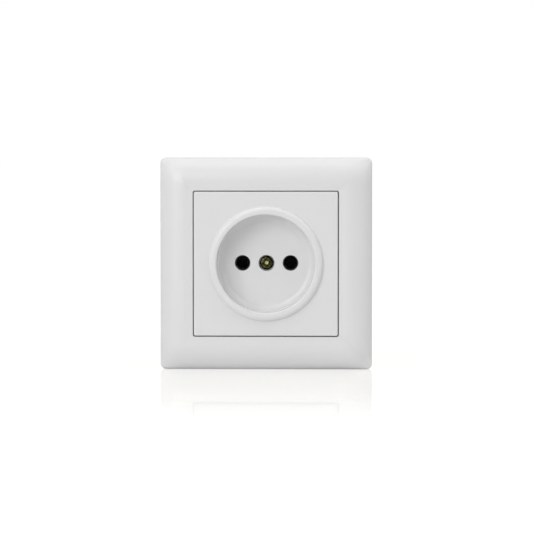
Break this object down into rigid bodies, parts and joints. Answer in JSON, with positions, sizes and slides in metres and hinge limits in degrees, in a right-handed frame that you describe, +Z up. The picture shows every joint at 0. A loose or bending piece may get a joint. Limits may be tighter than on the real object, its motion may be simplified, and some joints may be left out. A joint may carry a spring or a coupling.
{
  "type": "ungrounded wall socket",
  "caption": "Flush two-pole wall socket with a square pillow-shaped frame, a round plug well with two pin holes and a middle screw, and spreading claws behind for a wall box.",
  "frame": {"origin": "middle of the socket on the wall surface, at the centre of the box-screw pattern on the yoke's back face", "axes": "+X to the right seen from the room, +Y into the wall, +Z up; the front faces -Y"},
  "size_m": [0.0834, 0.0389, 0.0834],
  "materials": {
    "white_plastic": "gloss moulded",
    "black_plastic": "matte moulded",
    "zinc_steel": "bright zinc plate",
    "spring_steel": "bright drawn",
    "yellow_zinc": "yellow passivated zinc plate",
    "brass": "rolled strip"
  },
  "bodies": {
    "socket": {"outer_frame": "white_plastic", "centre_cover": "white_plastic", "cover_screw": "yellow_zinc", "cover_nut": "zinc_steel", "yoke_plate": "zinc_steel", "mechanism_base": "black_plastic", "contact_guard": "black_plastic", "contact_left": "brass", "grip_spring_left": "spring_steel", "clamp_plate_left": "zinc_steel", "terminal_screw_left": "yellow_zinc", "base_rivet_upper_left": "brass", "base_rivet_lower_left": "brass", "contact_right": "brass", "grip_spring_right": "spring_steel", "clamp_plate_right": "zinc_steel", "terminal_screw_right": "yellow_zinc", "base_rivet_upper_right": "brass", "base_rivet_lower_right": "brass"},
    "left_screw": {"claw_screw_left": "yellow_zinc"},
    "left_claw": {"claw_left": "zinc_steel"},
    "right_screw": {"claw_screw_right": "yellow_zinc"},
    "right_claw": {"claw_right": "zinc_steel"}
  },
  "joints": [
    {"name": "claw_swing_left", "type": "hinge", "parent": "socket", "child": "left_screw", "pos_m": [-0.02175, -0.0012, 0], "axis": [0, 0, 1], "range_deg": [0, 10]},
    {"name": "claw_draw_left", "type": "slide", "parent": "left_screw", "child": "left_claw", "axis": [0, -1, 0], "range_m": [0, 0.005]},
    {"name": "claw_swing_right", "type": "hinge", "parent": "socket", "child": "right_screw", "pos_m": [0.02175, -0.0012, 0], "axis": [0, 0, -1], "range_deg": [0, 10]},
    {"name": "claw_draw_right", "type": "slide", "parent": "right_screw", "child": "right_claw", "axis": [0, -1, 0], "range_m": [0, 0.005]}
  ],
  "couplings": [
    {"joint": "claw_draw_left", "follows": "claw_swing_left", "m_per_rad": 0.028648},
    {"joint": "claw_draw_right", "follows": "claw_swing_right", "m_per_rad": 0.028648}
  ]
}
